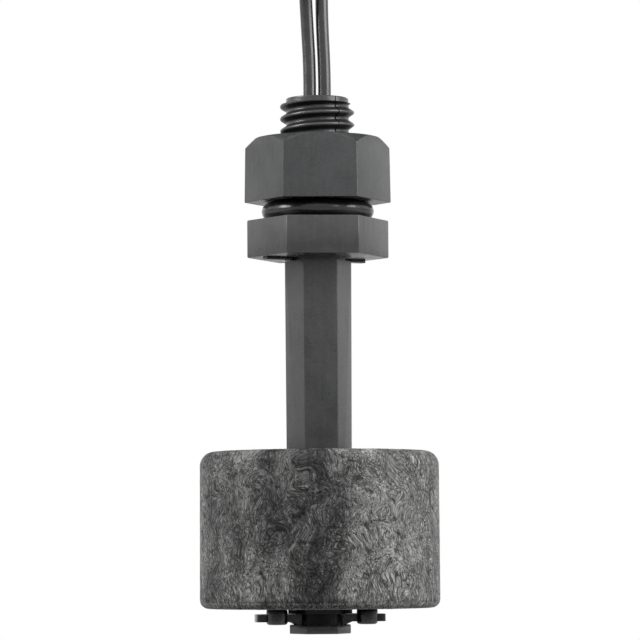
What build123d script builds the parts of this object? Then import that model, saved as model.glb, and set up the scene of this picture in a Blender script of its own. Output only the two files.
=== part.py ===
from build123d import *
import os
from math import cos, pi, radians, sin, tan

# A float switch that hangs from the roof of a tank. Its stud goes up through the panel,
# the nut and the rubber ring clamp the panel, and the foam float slides on the stem below.
# Sizes are in millimetres. The origin is the centre of the flange's upper, sealing face,
# +Z runs up along the stem, and the front of the object faces -Y.

# Threaded stud, drawn at the thread's outside diameter
thread_diameter = 9.525
thread_length = 14.98
pilot_diameter = 8.04
pilot_length = 0.66

# Hexagonal flange under the panel
flange_across_flats = 15.72
flange_thickness = 4.85
flange_corner_radius = 0.2
hex_turn = 4.7

# Hexagonal stem, which gets thinner downwards so that it leaves its mould
stem_across_flats = 7.43
stem_length = 45.0
stem_draft = 0.2
stem_corner_radius = 0.15
bore_diameter = 4.2
bore_floor = 3.2

# Groove for the lower clip, and the hexagonal end below it
neck_diameter = 5.7
groove_width = 1.62
tip_across_flats = 6.8
tip_length = 1.17

# Hexagonal nut, moulded, wider at its lower face
nut_across_flats = 16.25
nut_height = 8.16
nut_draft = 0.8
nut_corner_radius = 0.12
nut_rim_diameter = 16.1
nut_turn = 2.4
nut_thread_clearance = 0.06
nut_lead_in = 0.5
nut_seal_gap = 0.04

# Rubber sealing ring
seal_section = 2.2
seal_thread_clearance = 0.05
seat_gap = 0.01

# Thin upper clip, snapped into a shallow groove right under the flange: a half ring with two arms
upper_clip_diameter = 9.0
upper_clip_thickness = 0.4
upper_clip_left_reach = 7.45
upper_clip_right_reach = 6.85
upper_clip_arm_width = 1.3
upper_groove_diameter = 7.1
upper_groove_play = 0.05
upper_clip_mouth = 0.25
upper_clip_turn = 28.0

# Lower clip: an open plate whose two ends carry round lugs, with a conical hub under it
clip_diameter = 16.7
clip_thickness = 0.95
clip_play = 0.05
clip_hub_drop = 0.35
clip_hub_diameter = 8.4
clip_hub_foot_diameter = 6.6
clip_end_radius = 0.5
clip_turn = 11.5
lug_diameter = 2.7
lug_circle_diameter = 11.9
lug_angle = 78.0
lug_above_plate = 0.75
lug_below_plate = 0.35
lug_chamfer = 0.4

# Foam float
float_diameter = 30.56
float_height = 19.9
float_draft = 0.18
float_clearance = 0.45
float_top_radius = 1.8
float_bottom_radius = 1.15
float_bore_chamfer = 0.4

# Ring magnet moulded into the float
magnet_inner_diameter = 13.0
magnet_outer_diameter = 20.0
magnet_height = 5.0
magnet_play = 0.05

# Reed switch, placed by the magnet of a float that is lifted against the upper clip
reed_below_magnet = 5.0
glass_diameter = 2.0
glass_length = 14.0
glass_wall = 0.25
glass_seal = 2.4
glass_end_radius = 0.6
wire_diameter = 0.5
wire_play = 0.01
blade_width = 1.0
blade_thickness = 0.2
blade_overlap = 1.0
contact_gap = 0.1
reed_lead_above = 6.5
reed_lead_below = 3.4
return_sleeve_diameter = 0.9
return_sleeve_play = 0.02
return_sleeve_end_gap = 0.6

# Solder joints between the reed and the leads, and the sleeves shrunk over them
solder_diameter = 1.2
solder_length = 4.0
solder_grip = 1.6
stripped_inside = 3.0
shrink_diameter = 1.86
shrink_play = 0.02
shrink_overlap = 1.6
shrink_below = 0.4

# Two insulated leads and the resin that holds them in the stud
lead_diameter = 1.65
lead_spacing = 1.89
conductor_diameter = 0.76
potting_recess = 0.5
potting_depth = 12.0

# The free leads, folded into a flat hank above the switch and tied
hank_width = 22.0
hank_height = 50.3
hank_corner_radius = 10.4
hank_thickness = 3.45
hank_bottom = 36.0
hank_run_bottom = 46.6
hank_run = 29.9
tail_offset = 10.16
tail_depth = 0.86
tail_knee = 5.2
tail_length = 11.2
tail_knee_lean = 0.12
tail_lean = 0.8
stripped_end = 6.5
tie_width = 3.0
tie_thickness = 0.8
tie_play = 0.1
tie_head_width = 4.6
tie_head_height = 4.4
tie_head_depth = 3.0
tie_head_offset = 4.4

# Route of the left lead from the resin up to the hank, chosen point by point
left_route = [
    (-0.945, 0.0, 15.14),
    (-0.89, 0.02, 19.0),
    (-1.25, -0.08, 25.8),
    (-1.5, -0.82, 31.2),
    (-1.45, -2.2, 35.7),
    (-1.34, -2.64, 40.4),
    (-1.9, -2.46, 44.5),
    (-3.1, -1.95, 48.3),
]

# Route of the right lead, which leans the same way and then goes behind the hank
right_route = [
    (0.945, 0.0, 15.14),
    (1.0, 0.03, 18.6),
    (0.68, 0.1, 25.6),
    (0.66, 0.84, 31.2),
    (1.05, 2.2, 35.7),
    (1.32, 2.64, 40.4),
    (1.94, 2.46, 44.5),
    (3.1, 1.95, 48.3),
]

# Heights that follow from the sizes above
stud_end = thread_length + pilot_length
flange_bottom = -flange_thickness
groove_top = flange_bottom - stem_length
tip_top = groove_top - groove_width
tip_end = tip_top - tip_length
bore_end = groove_top + bore_floor
clip_bottom = tip_top + clip_hub_drop
clip_top = clip_bottom + clip_thickness
float_bottom = clip_top + lug_above_plate
float_top = float_bottom + float_height
lug_x = lug_circle_diameter / 2 * sin(radians(lug_angle))
lug_y = -lug_circle_diameter / 2 * cos(radians(lug_angle))
upper_clip_bottom = flange_bottom - upper_clip_thickness
float_travel = upper_clip_bottom - float_top
magnet_middle = float_bottom + float_height / 2
reed_middle = magnet_middle + float_travel - reed_below_magnet
glass_top = reed_middle + glass_length / 2
glass_bottom = reed_middle - glass_length / 2
wire_top = glass_top + reed_lead_above
solder_bottom = wire_top - solder_grip
solder_top = solder_bottom + solder_length
conductor_end = solder_top - solder_grip
insulation_end = conductor_end + stripped_inside
resin_top = stud_end - potting_recess
resin_bottom = resin_top - potting_depth
stem_across_corners = stem_across_flats / cos(radians(30))
column = lead_spacing / 2
hank_middle = hank_bottom + hank_height / 2


def hexagon(across_flats, corner_radius, turn):
    """A hexagon that faces the front with a flat, turned a little about the axis."""
    outline = RegularPolygon(across_flats / 2, 6, major_radius=False)
    return Rot(0, 0, turn) * fillet(outline.vertices(), corner_radius)


def rod(diameter, low, high, x=0.0, y=0.0):
    """A round bar along Z between two heights."""
    bar = Cylinder(diameter / 2, high - low, align=(Align.CENTER, Align.CENTER, Align.MIN))
    return Pos(x, y, low) * bar


def stem():
    """The moulded body: stud, flange, stem, clip grooves and the blind bore for the switch."""
    stud = rod(thread_diameter, 0, thread_length)
    lead_in = (thread_diameter - pilot_diameter) / 2
    stud = chamfer(stud.edges().group_by(Axis.Z)[-1], lead_in)
    stud += rod(pilot_diameter, thread_length - lead_in, stud_end)
    flange = extrude(hexagon(flange_across_flats, flange_corner_radius, hex_turn), -flange_thickness)
    shaft = hexagon(stem_across_flats, stem_corner_radius, hex_turn)
    shaft = extrude(Pos(0, 0, flange_bottom) * shaft, -stem_length, taper=stem_draft)
    neck = rod(neck_diameter, tip_top, groove_top)
    tip = hexagon(tip_across_flats, stem_corner_radius, hex_turn)
    tip = extrude(Pos(0, 0, tip_top) * tip, -tip_length)
    groove = rod(2 * stem_across_corners, upper_clip_bottom - upper_groove_play, flange_bottom)
    groove -= rod(upper_groove_diameter, upper_clip_bottom - upper_groove_play, flange_bottom)
    body = stud + flange + (shaft - groove) + neck + tip
    return body - rod(bore_diameter, bore_end, stud_end)


def mounting_nut():
    """The moulded nut: a drafted hexagon whose upper corners are turned off at 45 degrees."""
    base = seal_section + 2 * seat_gap + nut_seal_gap
    top = base + nut_height
    outline = Pos(0, 0, base) * hexagon(nut_across_flats, nut_corner_radius, nut_turn)
    body = extrude(outline, nut_height, taper=nut_draft)
    rim = nut_rim_diameter / 2
    widest = nut_across_flats
    drop = widest - rim
    turned = Polyline((0, base), (widest, base), (widest, top - drop), (rim, top), (0, top), close=True)
    body = body & revolve(Plane.XZ * make_face(turned), Axis.Z)
    bore = thread_diameter + 2 * nut_thread_clearance
    body -= rod(bore, base, top)
    wide = bore / 2 + nut_lead_in
    for face, inward in ((base, 1), (top, -1)):
        cone = Polyline((0, face), (wide, face), (bore / 2, face + inward * nut_lead_in),
                        (0, face + inward * nut_lead_in), close=True)
        body -= revolve(Plane.XZ * make_face(cone), Axis.Z)
    return body


def sealing_ring():
    """The rubber ring round the stud, resting on the flange."""
    inner = thread_diameter / 2 + seal_thread_clearance
    ring = Torus(inner + seal_section / 2, seal_section / 2)
    return Pos(0, 0, seal_section / 2 + seat_gap) * ring


def upper_clip():
    """A thin open ring with two straight arms that stops the float, in the groove under the flange."""
    inner = upper_groove_diameter + 2 * upper_groove_play
    reach = upper_clip_left_reach + upper_clip_right_reach
    arms = Box(reach, upper_clip_arm_width, upper_clip_thickness, align=(Align.MIN, Align.MIN, Align.MIN))
    clip = Pos(-upper_clip_left_reach, -upper_clip_mouth, upper_clip_bottom) * arms
    clip += rod(upper_clip_diameter, upper_clip_bottom, flange_bottom)
    clip -= rod(inner, upper_clip_bottom, flange_bottom)
    wide = 2 * upper_clip_diameter
    front = Box(wide, wide, wide, align=(Align.CENTER, Align.MAX, Align.CENTER))
    clip -= Pos(0, -upper_clip_mouth, flange_bottom) * front
    return Rot(0, 0, upper_clip_turn) * clip


def lower_clip():
    """The clip that carries the float: an open plate that ends in two lugs, with a hub below it."""
    plate = rod(clip_diameter, clip_bottom, clip_top)
    hub = Cone(clip_hub_foot_diameter / 2, clip_hub_diameter / 2, clip_hub_drop,
               align=(Align.CENTER, Align.CENTER, Align.MIN))
    plate += Pos(0, 0, tip_top) * hub
    plate -= rod(neck_diameter + 2 * clip_play, tip_top, clip_top)
    wide = 2 * clip_diameter
    front = Box(wide, wide, wide, align=(Align.CENTER, Align.MAX, Align.CENTER))
    plate -= Pos(0, lug_y, clip_bottom) * front
    ends = [e for e in plate.edges().filter_by(Axis.Z) if abs(e.center().X) > lug_x]
    plate = fillet(ends, clip_end_radius)
    low = clip_bottom - lug_below_plate
    high = clip_top + lug_above_plate
    for side in (-1, 1):
        lug = rod(lug_diameter, low, high, side * lug_x, lug_y)
        plate += chamfer(lug.edges().filter_by(GeomType.CIRCLE), lug_chamfer)
    return Rot(0, 0, clip_turn) * plate


def float_body():
    """The foam cylinder: slightly drafted, round-edged, with a plain bore and the magnet's pocket."""
    low = float_diameter / 2
    high = low - float_height * tan(radians(float_draft))
    body = Cone(low, high, float_height, align=(Align.CENTER, Align.CENTER, Align.MIN))
    body = fillet(body.edges().group_by(Axis.Z)[-1], float_top_radius)
    body = fillet(body.edges().group_by(Axis.Z)[0], float_bottom_radius)
    body = Pos(0, 0, float_bottom) * body
    bore = stem_across_corners + 2 * float_clearance
    body -= rod(bore, float_bottom, float_top)
    mouths = [e for e in body.edges().filter_by(GeomType.CIRCLE) if abs(e.radius - bore / 2) < 0.001]
    body = chamfer(mouths, float_bore_chamfer)
    pocket = rod(magnet_outer_diameter + 2 * magnet_play, magnet_middle - magnet_height / 2 - magnet_play,
                 magnet_middle + magnet_height / 2 + magnet_play)
    pocket -= rod(magnet_inner_diameter - 2 * magnet_play, float_bottom, float_top)
    return body - pocket


def magnet_ring():
    """The ring magnet inside the foam."""
    low = magnet_middle - magnet_height / 2
    high = magnet_middle + magnet_height / 2
    return rod(magnet_outer_diameter, low, high) - rod(magnet_inner_diameter, low, high)


def reed_glass():
    """The sealed glass tube of the reed switch, with its leads' holes in both ends."""
    tube = rod(glass_diameter, glass_bottom, glass_top, -column)
    tube = fillet(tube.edges().filter_by(GeomType.CIRCLE), glass_end_radius)
    inside = glass_diameter - 2 * glass_wall
    tube -= rod(inside, glass_bottom + glass_seal, glass_top - glass_seal, -column)
    return tube - rod(wire_diameter + 2 * wire_play, glass_bottom, glass_top, -column)


def blade(side):
    """The flat end of one reed blade, from its seal to just past the middle; side 1 is the upper."""
    seal = reed_middle + side * (glass_length / 2 - glass_seal)
    tip = reed_middle - side * blade_overlap / 2
    shift = side * (contact_gap + blade_thickness) / 2
    flat = Box(blade_thickness, blade_width, abs(seal - tip))
    return Pos(-column + shift, 0, (seal + tip) / 2) * flat


def reed_blade_upper():
    """The upper blade and its round lead, which goes up to the first solder joint."""
    return rod(wire_diameter, glass_top - glass_seal - blade_thickness, wire_top, -column) + blade(1)


def reed_blade_lower():
    """The lower blade; its lead turns back beside the glass and ends in the second joint."""
    turn_height = glass_bottom - reed_lead_below
    start = glass_bottom + glass_seal + blade_thickness
    down = Line((-column, 0, start), (-column, 0, turn_height))
    bend = ThreePointArc(down @ 1, (0, 0, turn_height - column), (column, 0, turn_height))
    up = Line(bend @ 1, (column, 0, wire_top))
    profile = Plane(origin=(-column, 0, start), z_dir=(0, 0, -1)) * Circle(wire_diameter / 2)
    return sweep(profile, Wire([down, bend, up])) + blade(-1)


def return_sleeve():
    """The thin sleeve that keeps the returning lead off the glass."""
    low = glass_bottom - reed_lead_below + return_sleeve_end_gap
    high = solder_bottom - return_sleeve_end_gap
    inside = wire_diameter + 2 * return_sleeve_play
    return rod(return_sleeve_diameter, low, high, column) - rod(inside, low, high, column)


def inner_lead(side):
    """One lead's insulated length inside the stud, down to where it is stripped."""
    return rod(lead_diameter, insulation_end, resin_top, side * column)


def inner_conductor(side):
    """The bare strands below it, which end inside the solder joint."""
    return rod(conductor_diameter, conductor_end, insulation_end, side * column)


def solder_joint(side):
    """The solder round the strands and the reed's wire."""
    joint = rod(solder_diameter, solder_bottom, solder_top, side * column)
    joint -= rod(conductor_diameter, conductor_end, solder_top, side * column)
    return joint - rod(wire_diameter, solder_bottom, wire_top, side * column)


def shrink_sleeve(side):
    """The sleeve shrunk over the joint and the end of the insulation."""
    low = solder_bottom - shrink_below
    high = insulation_end + shrink_overlap
    inside = lead_diameter + 2 * shrink_play
    sleeve = rod(shrink_diameter, low, high, side * column)
    return sleeve - rod(inside, low, high, side * column)


def potting():
    """The resin in the mouth of the stud, with both leads through it."""
    plug = rod(bore_diameter, resin_bottom, resin_top)
    for side in (-1, 1):
        plug -= rod(lead_diameter, resin_bottom, resin_top, side * column)
    return plug


def corner_radii(points):
    """The largest arc that each corner's two runs allow."""
    spots = [Vector(*p) for p in points]
    radii = []
    for before, here, after in zip(spots, spots[1:], spots[2:]):
        turn = radians((here - before).get_angle(after - here))
        radii.append(0.45 * min((here - before).length, (after - here).length) / tan(turn / 2))
    return radii


def tube(points):
    """A round lead along straight runs joined by tangent arcs."""
    radii = corner_radii(points)
    print("corner radii", [round(r, 1) for r in radii])
    path = FilletPolyline(*points, radius=radii) if len(points) > 2 else Line(*points)
    profile = Plane(origin=path @ 0, z_dir=path % 0) * Circle(lead_diameter / 2)
    lead = sweep(profile, path)
    section = pi * (lead_diameter / 2) ** 2
    print("tube volume over section times length", round(lead.volume / (section * path.length), 4))
    return lead


def hank():
    """The outer shape of the folded leads: both lie in it, one in each layer."""
    outline = RectangleRounded(hank_width, hank_height, hank_corner_radius)
    plate = extrude(Plane.XZ * outline, hank_thickness / 2, both=True)
    return Pos(0, 0, hank_middle) * plate


def tail_route(side):
    """The last stretch of a lead, which leaves the hank's shoulder and leans outwards."""
    top = hank_run_bottom + hank_run
    x = side * tail_offset
    y = side * tail_depth
    knee = (x + side * tail_knee_lean, y, top + tail_knee)
    return [(x, y, top), knee, (x + side * tail_lean, y, top + tail_length)]


def tail(side):
    """The insulated end of a lead, outside the hank."""
    return tube(tail_route(side)) - hank()


def stripped_tip(side):
    """The bare tinned end of a lead, for a terminal or a splice."""
    points = [Vector(*p) for p in tail_route(side)]
    heading = (points[-1] - points[-2]).normalized()
    circle = Plane(origin=points[-1], z_dir=heading) * Circle(conductor_diameter / 2)
    return extrude(circle, stripped_end)


def hank_tie():
    """The strap round the hank's waist, with its locking head at the front."""
    outer_width = hank_width + 2 * (tie_play + tie_thickness)
    outer_depth = hank_thickness + 2 * (tie_play + tie_thickness)
    strap = Box(outer_width, outer_depth, tie_width)
    strap = fillet(strap.edges().filter_by(Axis.Z), tie_thickness)
    strap -= Box(hank_width + 2 * tie_play, hank_thickness + 2 * tie_play, tie_width)
    front = (Align.CENTER, Align.MAX, Align.CENTER)
    head = Box(tie_head_width, tie_head_depth, tie_head_height, align=front)
    head = fillet(head.edges().filter_by(Axis.Y), tie_thickness / 2)
    strap += Pos(tie_head_offset, -hank_thickness / 2 - tie_play, 0) * head
    return Pos(0, 0, hank_middle) * strap


def build():
    """Every piece by its name."""
    coil = hank()
    return {
        "stem": stem(),
        "mounting_nut": mounting_nut(),
        "sealing_ring": sealing_ring(),
        "upper_clip": upper_clip(),
        "lower_clip": lower_clip(),
        "float_body": float_body(),
        "magnet_ring": magnet_ring(),
        "potting": potting(),
        "reed_glass": reed_glass(),
        "reed_blade_upper": reed_blade_upper(),
        "reed_blade_lower": reed_blade_lower(),
        "return_sleeve": return_sleeve(),
        "inner_lead_left": inner_lead(-1),
        "inner_lead_right": inner_lead(1),
        "inner_conductor_left": inner_conductor(-1),
        "inner_conductor_right": inner_conductor(1),
        "solder_joint_left": solder_joint(-1),
        "solder_joint_right": solder_joint(1),
        "shrink_sleeve_left": shrink_sleeve(-1),
        "shrink_sleeve_right": shrink_sleeve(1),
        "lead_left": tube(left_route) - coil,
        "lead_right": tube(right_route) - coil,
        "lead_hank": coil,
        "hank_tie": hank_tie(),
        "lead_left_end": tail(-1),
        "lead_right_end": tail(1),
        "lead_left_tip": stripped_tip(-1),
        "lead_right_tip": stripped_tip(1),
    }


os.makedirs("parts", exist_ok=True)
for name, shape in build().items():
    export_step(shape, f"parts/{name}.step")
print("float travel", round(float_travel, 3), "reed middle", round(reed_middle, 2))
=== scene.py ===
# %% [markdown]
# # A float switch that hangs from the roof of a tank
# The switch is a moulded stem with a threaded stud, a nut, a rubber ring, two thin clips and a foam
# float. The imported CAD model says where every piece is, and this lesson gives each one its surface.

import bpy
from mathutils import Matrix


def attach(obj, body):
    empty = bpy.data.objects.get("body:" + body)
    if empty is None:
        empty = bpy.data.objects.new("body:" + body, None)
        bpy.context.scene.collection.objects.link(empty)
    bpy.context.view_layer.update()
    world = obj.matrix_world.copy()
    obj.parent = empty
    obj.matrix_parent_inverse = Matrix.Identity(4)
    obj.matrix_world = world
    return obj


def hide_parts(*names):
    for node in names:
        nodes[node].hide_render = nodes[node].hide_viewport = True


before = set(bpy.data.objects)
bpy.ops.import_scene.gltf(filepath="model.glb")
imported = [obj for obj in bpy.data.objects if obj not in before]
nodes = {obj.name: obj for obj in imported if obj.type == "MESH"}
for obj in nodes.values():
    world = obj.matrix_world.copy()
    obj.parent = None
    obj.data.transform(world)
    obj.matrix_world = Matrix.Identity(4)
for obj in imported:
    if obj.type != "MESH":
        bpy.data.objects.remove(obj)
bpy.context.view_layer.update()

# %% Modules and the unit
import math

import bmesh
import bpy
from mathutils import Matrix, Quaternion, Vector, noise

MM = 0.001
print(len(nodes), "CAD nodes")

# %% [markdown]
# ## The camera
# The photo was taken from nearly half a metre away, a little below the middle of the switch and
# looking slightly up: the undersides of the nut and the flange show, and the top of the float does
# not. The thread's diameter gives the scale, and the curves of the rims give the distance. A focal
# length in pixels, measured in the photo, turns into a lens on a 36 mm sensor. The switch leans a
# fraction of a degree in the photo, which a small roll of the camera gives back.

# %% Camera
image_pixels = 640
focal_pixels = 3495
sensor_width = 36.0
camera_place = Vector((0.2, -445.0, -42.465)) * MM
camera_target = Vector((0.2, 0.0, -12.765)) * MM
camera_roll = math.radians(-0.36)


def new_object(name, data):
    """An object in the scene that shows this data."""
    obj = bpy.data.objects.new(name, data)
    bpy.context.scene.collection.objects.link(obj)
    return obj


camera_data = bpy.data.cameras.new("camera")
camera_data.sensor_width = sensor_width
camera_data.lens = focal_pixels / image_pixels * sensor_width
camera_data.clip_start = 0.01
camera = new_object("camera", camera_data)
camera.location = camera_place
camera.rotation_mode = "QUATERNION"
looking = (camera_target - camera_place).to_track_quat("-Z", "Y")
camera.rotation_quaternion = looking @ Quaternion((0, 0, 1), camera_roll)
bpy.context.scene.camera = camera
print("lens", round(camera_data.lens, 1), "mm")

# %% [markdown]
# ## The routes of the two leads
# Each lead is a round insulated wire, 1.65 mm thick and 305 mm long from the resin to its tinned tip.
# The photo shows only the first 13 mm. The rest is folded above the picture into a flat hank, two
# turns in a layer of its own for each lead, and a strap holds it. A free lead is easiest to model as
# one curve with a round bevel, because its length and its bends can be measured on the curve itself.
# The points up to the hank are chosen one by one, as in the CAD model. The turns repeat, so a loop
# works them out.

# %% Points chosen one by one, in millimetres
lead_diameter = 1.65
stripped_end = 6.5
left_route = [
    (-0.945, 0.0, 15.14),
    (-0.89, 0.02, 19.0),
    (-1.25, -0.08, 25.8),
    (-1.5, -0.82, 31.2),
    (-1.45, -2.2, 35.7),
    (-1.34, -2.64, 40.4),
    (-1.9, -2.46, 44.5),
    (-3.1, -1.95, 48.3),
    (-4.5, -1.4, 52.2),
    (-5.7, -1.0, 56.4),
    (-6.5, -0.88, 60.8),
    (-6.76, -0.86, 65.3),
]
right_route = [
    (0.945, 0.0, 15.14),
    (1.0, 0.03, 18.6),
    (0.68, 0.1, 25.6),
    (0.66, 0.84, 31.2),
    (1.05, 2.2, 35.7),
    (1.32, 2.64, 40.4),
    (1.94, 2.46, 44.5),
    (3.1, 1.95, 48.3),
    (4.5, 1.4, 52.2),
    (5.7, 1.0, 56.4),
    (6.5, 0.88, 60.8),
    (6.76, 0.86, 65.3),
]
run_bottom = 46.6
run_top = 76.5
layer_depth = 0.86
first_fold_radius = 6.76
radius_per_fold = 0.85
folds = 4
points_per_fold = 12
print(len(left_route), "points on the left,", len(right_route), "on the right")


# %% Turns and tails of the hank
def folded_stretch(side):
    """The turns of one lead, from its first run up to the last one; side is -1 on the left."""
    points = []
    for fold in range(folds):
        upward = 1 if fold % 2 == 0 else -1
        centre = run_top if upward > 0 else run_bottom
        for step in range(points_per_fold + 1):
            share = step / points_per_fold
            radius = first_fold_radius + radius_per_fold * (fold + share)
            across = side * upward * radius * math.cos(math.pi * share)
            height = centre + upward * radius * math.sin(math.pi * share)
            points.append((across, side * layer_depth, height))
    return points


def tail_points(side):
    """The end of a lead, which leaves the hank's shoulder and leans outwards."""
    across = side * (first_fold_radius + radius_per_fold * folds)
    depth = side * layer_depth
    return [
        (across, depth, run_top),
        (across + side * 0.12, depth, run_top + 5.2),
        (across + side * 0.8, depth, run_top + 11.2),
    ]


print("points in each lead", len(left_route) + len(folded_stretch(-1)) + len(tail_points(-1)))

# %% Leads as curves
def lead_curve(name, points):
    """One smooth spline through the whole lead, with a round section."""
    curve = bpy.data.curves.new(name, "CURVE")
    curve.dimensions = "3D"
    curve.resolution_u = 10
    curve.bevel_depth = lead_diameter / 2 * MM
    curve.bevel_resolution = 6
    curve.use_fill_caps = True
    spline = curve.splines.new("NURBS")
    spline.points.add(len(points) - 1)
    for point, place in zip(spline.points, points):
        point.co = (*(Vector(place) * MM), 1)
    spline.order_u = 3
    spline.use_endpoint_u = True
    return new_object(name, curve)


def centreline(route):
    """The points of a route's own line, read from its curve with no bevel."""
    route.data.bevel_depth = 0
    mesh = bpy.data.meshes.new_from_object(route)
    line = [v.co.copy() for v in mesh.vertices]
    bpy.data.meshes.remove(mesh)
    return line


def lead_tube(name, points):
    """A lead's mesh, and the line that it follows."""
    route = lead_curve("route", points)
    mesh = bpy.data.meshes.new_from_object(route)
    mesh.name = name
    lead = new_object(name, mesh)
    mesh.shade_smooth()
    mesh.set_sharp_from_angle(angle=math.radians(50))
    line = centreline(route)
    bpy.data.curves.remove(route.data)
    return lead, line


# %% Leads
leads = {}
for name, side, route in (("left", -1, left_route), ("right", 1, right_route)):
    lead, line = lead_tube(f"lead_wire_{name}", route + folded_stretch(side) + tail_points(side))
    length = sum((b - a).length for a, b in zip(line, line[1:])) / MM
    leads[name] = (lead, side, line)
    print(name, "insulated for", round(length, 1), "mm, with its tip", round(length + stripped_end, 1))

# %% [markdown]
# ## Shapes from a lathe, a hexagon and a screw
# Nearly everything on this switch is round or hexagonal about one axis, so three small helpers make
# the blanks. The first spins a wire of radius and height points, like work in a lathe: a wire that
# starts on the axis gives a solid bar, and any other is closed and gives a ring. The second draws a
# hexagon and extrudes it, and tapers it as a mould does. The third spins one tooth of the thread
# while it climbs one pitch a turn, which is how a screw is cut. They all work in millimetres, because
# a tolerance of a thousandth is easier to think of there, and the finished mesh is scaled to metres
# once.

# %% Helpers for places
def shifted(bm, step):
    """A blank, moved by a step."""
    bmesh.ops.translate(bm, vec=step, verts=bm.verts)
    return bm


def rotated(bm, degrees, axis="Z"):
    """A blank, turned about an axis through the origin."""
    turn = Matrix.Rotation(math.radians(degrees), 3, axis)
    bmesh.ops.rotate(bm, cent=(0, 0, 0), matrix=turn, verts=bm.verts)
    return bm


# %% Helpers for wires and edges
def upright_edges(bm, least):
    """The edges that climb by more than this."""
    return [e for e in bm.edges if abs(e.verts[0].co.z - e.verts[1].co.z) > least]


def sharp_edges(bm, least, most=math.tau):
    """The edges where two faces meet at an angle between these, in radians."""
    return [e for e in bm.edges if len(e.link_faces) == 2 and least < e.calc_face_angle() < most]


def soften(bm, edges, width, segments=2):
    """Round these edges, or these wire corners, by a width in millimetres."""
    corners = [e for e in edges if isinstance(e, bmesh.types.BMVert)]
    kind = "VERTICES" if corners else "EDGES"
    bmesh.ops.bevel(bm, geom=list(edges), offset=width, offset_type="OFFSET", affect=kind,
                    segments=segments, profile=0.5, material=-1, clamp_overlap=True)


def split_wire(bm, step):
    """Cut the long edges of a wire into pieces of about one step."""
    for edge in bm.edges[:]:
        cuts = int(edge.calc_length() / step)
        if cuts:
            bmesh.ops.subdivide_edges(bm, edges=[edge], cuts=cuts)


# %% Helpers: lathe, rod and tube
def turned(profile, steps=96, rounds=(), segments=4, fine=None):
    """Spin (radius, height) points once round the Z axis. Rounds are (point index, radius) pairs."""
    bm = bmesh.new()
    wire = [bm.verts.new((radius, 0, height)) for radius, height in profile]
    starts_on_axis = profile[0][0] == 0
    for a, b in zip(wire, wire[1:] + ([] if starts_on_axis else wire[:1])):
        bm.edges.new((a, b))
    for index, radius in rounds:
        soften(bm, [wire[index]], radius, segments)
    if fine:
        split_wire(bm, fine)
    bmesh.ops.spin(bm, geom=bm.verts[:] + bm.edges[:], cent=(0, 0, 0), axis=(0, 0, 1), dvec=(0, 0, 0),
                   angle=math.tau, steps=steps, use_merge=True, use_duplicate=False)
    bmesh.ops.remove_doubles(bm, verts=bm.verts, dist=0.0005)
    bmesh.ops.recalc_face_normals(bm, faces=bm.faces)
    return bm


def rod(radius, low, high, steps=96):
    """A solid round bar between two heights."""
    return turned([(0, low), (radius, low), (radius, high), (0, high)], steps)


def tube(inner, outer, low, high, steps=96):
    """A round bar with a hole through it."""
    return turned([(inner, low), (outer, low), (outer, high), (inner, high)], steps)


# %% Helper: hexagonal bar
def hexagonal(across_flats, low, high, turn, corner, rim, top_scale=1.0):
    """A hexagonal bar with a flat to the front, rounded along its corners and both rims."""
    bm = bmesh.new()
    radius = across_flats / 2 / math.cos(math.radians(30))
    bmesh.ops.create_circle(bm, cap_ends=True, segments=6, radius=radius)
    shifted(rotated(bm, 30 + turn), (0, 0, low))
    raised = bmesh.ops.extrude_face_region(bm, geom=bm.faces[:])["geom"]
    lifted = [v for v in raised if isinstance(v, bmesh.types.BMVert)]
    bmesh.ops.translate(bm, vec=(0, 0, high - low), verts=lifted)
    bmesh.ops.scale(bm, vec=(top_scale, top_scale, 1), verts=lifted)
    bmesh.ops.recalc_face_normals(bm, faces=bm.faces)
    soften(bm, upright_edges(bm, (high - low) / 2), corner * math.tan(math.radians(30)), 3)
    for height, width in zip((low, high), rim):
        if width:
            soften(bm, [e for e in bm.edges if all(abs(v.co.z - height) < 0.001 for v in e.verts)], width)
    return bm


# %% [markdown]
# ## The thread
# A thread drawn as a stack of rings looks wrong at once, because real crests climb from one side to
# the other. Here the tooth is a wire of four corners: root, flank, crest and flank. Each corner is
# rounded, then the wire is spun once round while it climbs by one pitch. The other turns are copies
# of the first, lifted by one pitch each. Neighbouring turns share their ends, so merging them leaves
# one skin. The ends are cut flat and capped. The stud is moulded in two halves which don't quite
# match, so the roots stand out a little behind the seam. Its fine upright groove is cut later.

# %% Sizes of the thread
thread_pitch = 1.5875
thread_major = 9.525 / 2
thread_minor = 3.95
thread_crest_flat = 0.28
crest_height_at_right = 13.815
parting_angle = 305.8
parting_step = 0.09
steps_per_turn = 120
print("flanks", round(thread_major - thread_minor, 3), "mm deep")


# %% Helper: joint of the two mould halves
def part_halves(bm):
    """Let the roots in the half behind the seam stand out a little."""
    for v in bm.verts:
        reach = math.hypot(v.co.x, v.co.y)
        past = (math.atan2(v.co.y, v.co.x) - math.radians(parting_angle)) % math.tau
        if past < math.pi and reach < thread_minor + 0.3:
            v.co.xy *= (reach + parting_step) / reach


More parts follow.
